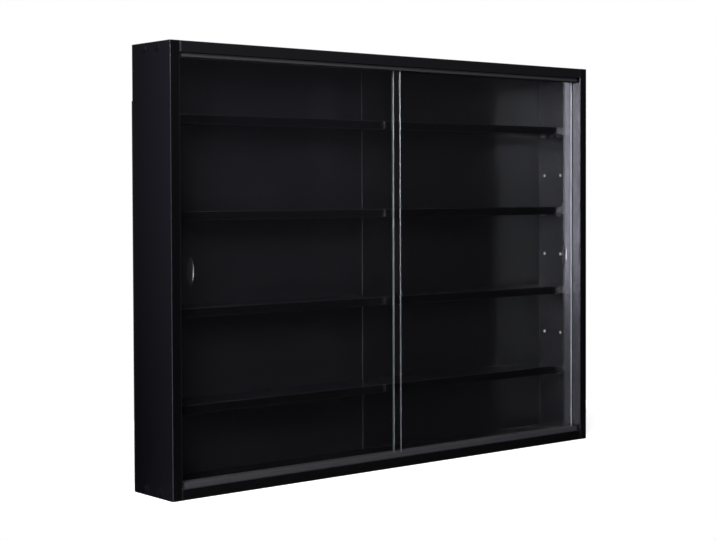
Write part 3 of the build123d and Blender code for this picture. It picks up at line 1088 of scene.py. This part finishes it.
class CABINET_OT_tracks(Operator):
    """Finish the two door tracks."""

    bl_idname = "cabinet.tracks"
    bl_label = "Tracks"

    def execute(self, context):
        material = track_material(context.scene.cabinet_finish)
        for node in TRACKS:
            dress(node, material)
        return {"FINISHED"}


class CABINET_OT_glass_doors(Operator):
    """Make the two glass doors with ground edges and finger pulls."""

    bl_idname = "cabinet.glass_doors"
    bl_label = "Glass doors"

    def execute(self, context):
        settings = context.scene.cabinet_glass
        glass = glass_material("clear_glass", settings, 0.0)
        satin = glass_material("satin_glass", settings, settings.pull_roughness)
        # The front sheet's ground edge gets painted shade low down; the rear one none.
        front_edge = ground_glass_material(
            "front_ground_edge", settings, clearness=0.32, shaded_low_share=0.25
        )
        rear_edge = ground_glass_material(
            "rear_ground_edge", settings, clearness=0.6, shaded_low_share=1.0
        )
        make_pane("left_door_pane", "left_glass_door", -1, settings, [glass, front_edge, satin])
        make_pane("right_door_pane", "right_glass_door", 1, settings, [glass, rear_edge, satin])
        return {"FINISHED"}


class CABINET_OT_screw_caps(Operator):
    """Make the domed caps over the carcass screws."""

    bl_idname = "cabinet.screw_caps"
    bl_label = "Screw caps"

    def execute(self, context):
        settings = context.scene.cabinet_caps
        board_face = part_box("right_side_panel")[1].x
        low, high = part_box("screw_caps")
        size = settings.radius
        places = [
            (side * board_face, y, z)
            for side in (-1, 1)
            for y in (low.y + size, high.y - size)
            for z in (low.z + size, high.z - size)
        ]
        points, faces = [], []
        for number, place in enumerate(places):
            cap, rings = cap_points(place, 1 if place[0] > 0 else -1, settings)
            offset = number * len(cap)
            faces += [[offset + corner for corner in face] for face in ring_faces(rings, CAP_SIDES)]
            points.append(cap)
        material = cap_material(context.scene.cabinet_finish)
        thing = make_object("screw_cap_domes", np.concatenate(points), faces, [material])
        thing.data.polygons.foreach_set("use_smooth", np.ones(len(faces), bool))
        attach(thing, "cabinet")
        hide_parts("screw_caps")
        return {"FINISHED"}


class CABINET_OT_fittings(Operator):
    """Finish the pins, screws, nails, hangers and dowels."""

    bl_idname = "cabinet.fittings"
    bl_label = "Fittings"

    def execute(self, context):
        zinc = metal_material("zinc_plate", (0.60, 0.61, 0.62), 0.38, (1, 1, 0.1))
        nickel = metal_material("dark_nickel", (0.22, 0.21, 0.20), 0.34, (0.1, 1, 1))
        for node in ZINC_FITTINGS:
            dress(node, zinc)
        dress("shelf_pins", nickel)
        dress("carcass_dowels", dowel_material())
        return {"FINISHED"}


# ---- Stage --------------------------------------------------------------------------


def soft_light(name, power, colour=(1, 1, 1)):
    """A rectangular softbox that looks at a point and is hidden from the camera."""
    place, target, size = SOFTBOXES[name]
    data = bpy.data.lights.new(name, "AREA")
    data.shape = "RECTANGLE"
    data.size, data.size_y = size
    data.energy = power
    data.color = colour
    light = bpy.data.objects.new(name, data)
    light.location = place
    direction = Vector(np.subtract(target, place))
    light.rotation_euler = direction.to_track_quat("-Z", "Y").to_euler()
    light.visible_camera = False
    bpy.context.scene.collection.objects.link(light)
    return light


def spare(lamp, node):
    """Keeps a lamp off a board that would mirror it as a white patch."""
    spared = bpy.data.collections.new(f"spared_by_{lamp.name}")
    spared.objects.link(bpy.data.objects[node])
    lamp.light_linking.receiver_collection = spared
    spared.collection_objects[0].light_linking.link_state = "EXCLUDE"


def room_world(settings):
    """A white background for the camera, and for all else a dim room with paler walls.

    A wall is a patch of directions round its own, with a soft rim. The front wall is
    the upright strip of directions between its two corners, and above eye level it goes
    on, a little fainter, over everything ahead. The room darkens from eye level down to
    the floor. The white wall shows in gloss and glass, and a low pale panel beside the
    camera in gloss alone.
    """
    world = bpy.data.worlds.new("studio_room")
    world.use_nodes = True
    tree = world.node_tree
    tree.nodes.clear()
    output = tree.nodes.new("ShaderNodeOutputWorld")
    backdrop = tree.nodes.new("ShaderNodeBackground")
    place = add_node(tree, "ShaderNodeTexCoord")
    path = add_node(tree, "ShaderNodeLightPath")

    def wall(direction, rim, middle):
        facing = add_node(tree, "ShaderNodeVectorMath", operation="DOT_PRODUCT")
        facing.inputs[1].default_value = Vector(direction).normalized()
        join(tree, (place.outputs["Generated"], facing.inputs[0]))
        return ramp(tree, facing.outputs["Value"], (rim, middle), curve="SMOOTHSTEP")

    front = math_node(tree, "MINIMUM", wall(*FRONT_FROM_LEFT), wall(*FRONT_FROM_RIGHT))
    front = math_node(tree, "MULTIPLY", front, wall(*FRONT_FROM_FLOOR))
    above = math_node(tree, "MULTIPLY", wall(*ABOVE_EYE_LEVEL), UPPER_FRONT_SHARE)
    above = math_node(tree, "MULTIPLY", above, wall(*AHEAD))
    front = math_node(tree, "MAXIMUM", front, above)
    room = mix_colours(tree, front, settings.room, settings.front_wall)
    room = mix_colours(tree, wall(*GREY_WALL), room, settings.wall)
    light_left = ramp(tree, wall(*DUSK), (0, 1), low=DUSK_SHARE)
    room = mix_colours(tree, light_left, (0, 0, 0), room)
    panel = math_node(tree, "MULTIPLY", path.outputs["Is Glossy Ray"], wall(*LOW_PANEL))
    room = mix_colours(tree, panel, room, LOW_PANEL_COLOUR)
    white = math_node(tree, "MULTIPLY", mirrored(tree, path), wall(*WHITE_WALL))
    white = math_node(tree, "MAXIMUM", path.outputs["Is Camera Ray"], white)
    feed(tree, backdrop, Color=mix_colours(tree, white, room, (1, 1, 1)))
    feed(tree, output, Surface=backdrop.outputs[0])
    bpy.context.scene.world = world


def floor_material():
    """A pale matt floor that keeps shadows and fades to white at its border."""
    material, tree, shader, place = new_material("pale_floor")
    path = add_node(tree, "ShaderNodeLightPath")
    low = (*FLOOR_LOW, -1)
    high = (*FLOOR_HIGH, 1)
    box = effect(tree, box_distances, place, Low=low, High=high)
    border = ramp(tree, box.outputs["Depth"], FLOOR_BORDER, low=1.0, high=FLOOR_GLOW)
    glow = add_node(tree, "ShaderNodeEmission", in_Color=(1, 1, 1, 1))
    total = add_node(tree, "ShaderNodeAddShader")
    seen = math_node(tree, "MAXIMUM", path.outputs["Is Camera Ray"], mirrored(tree, path))
    feed(tree, glow, Strength=math_node(tree, "MULTIPLY", seen, border))
    shader.inputs["Base Color"].default_value = (0.86, 0.86, 0.86, 1)
    shader.inputs["Roughness"].default_value = 0.9
    join(
        tree,
        (shader.outputs[0], total.inputs[0]),
        (glow.outputs[0], total.inputs[1]),
        (total.outputs[0], surface(tree)),
    )
    return material


class CABINET_OT_stage(Operator):
    """Set the floor, the lights, the room and the camera."""

    bl_idname = "cabinet.stage"
    bl_label = "Stage"

    def execute(self, context):
        settings = context.scene.cabinet_stage
        scene = context.scene
        x0, y0 = FLOOR_LOW
        x1, y1 = FLOOR_HIGH
        level = CAD_BOX[0].z
        corners = np.array([(x0, y0, level), (x1, y0, level), (x1, y1, level), (x0, y1, level)])
        floor = make_object("floor", corners, [[0, 1, 2, 3]], [floor_material()])
        floor.visible_glossy = False
        floor.visible_transmission = False
        key = soft_light("key_softbox", settings.key_power, KEY_COLOUR)
        key.visible_diffuse = False
        spare(key, "left_side_panel")
        soft_light("side_softbox", settings.side_power)
        soft_light("overhead_softbox", settings.top_power)
        soft_light("rear_softbox", settings.rear_power)
        room_world(settings)
        data = bpy.data.cameras.new("camera")
        data.sensor_width = 36
        data.lens = settings.lens
        data.clip_start = 0.05
        data.shift_x, data.shift_y = settings.frame_shift
        camera = bpy.data.objects.new("camera", data)
        camera.location = settings.camera_place
        camera.rotation_euler = settings.camera_turn
        scene.collection.objects.link(camera)
        scene.camera = camera
        scene.view_settings.view_transform = "Standard"
        return {"FINISHED"}


# ---- Add-on -------------------------------------------------------------------------


class CABINET_PT_sidebar(Panel):
    """The cabinet's settings and steps."""

    bl_idname = "CABINET_PT_sidebar"
    bl_label = "Display Cabinet"
    bl_space_type = "VIEW_3D"
    bl_region_type = "UI"
    bl_category = "Cabinet"

    def draw(self, context):
        for step in STEPS:
            self.layout.operator(step.bl_idname)
        for name, kind in SETTINGS.items():
            block = self.layout.box()
            block.label(text=kind.__doc__)
            for field in kind.__annotations__:
                block.prop(getattr(context.scene, name), field)


SETTINGS = {
    "cabinet_finish": CabinetFinishSettings,
    "cabinet_glass": CabinetGlassSettings,
    "cabinet_caps": CabinetCapSettings,
    "cabinet_stage": CabinetStageSettings,
}
STEPS = (
    CABINET_OT_boards,
    CABINET_OT_back_sheets,
    CABINET_OT_shelves,
    CABINET_OT_tracks,
    CABINET_OT_glass_doors,
    CABINET_OT_screw_caps,
    CABINET_OT_fittings,
    CABINET_OT_stage,
)


def register():
    """Registers the settings, the steps and the panel."""
    for kind in (*SETTINGS.values(), *STEPS, CABINET_PT_sidebar):
        bpy.utils.register_class(kind)
    for name, kind in SETTINGS.items():
        setattr(bpy.types.Scene, name, PointerProperty(type=kind))


def unregister():
    """Takes them out again."""
    for name in SETTINGS:
        delattr(bpy.types.Scene, name)
    for kind in reversed((*SETTINGS.values(), *STEPS, CABINET_PT_sidebar)):
        bpy.utils.unregister_class(kind)


def main():
    """Runs every step."""
    register()
    for step in STEPS:
        group, action = step.bl_idname.split(".")
        getattr(getattr(bpy.ops, group), action)()


if __name__ == "__main__":
    main()
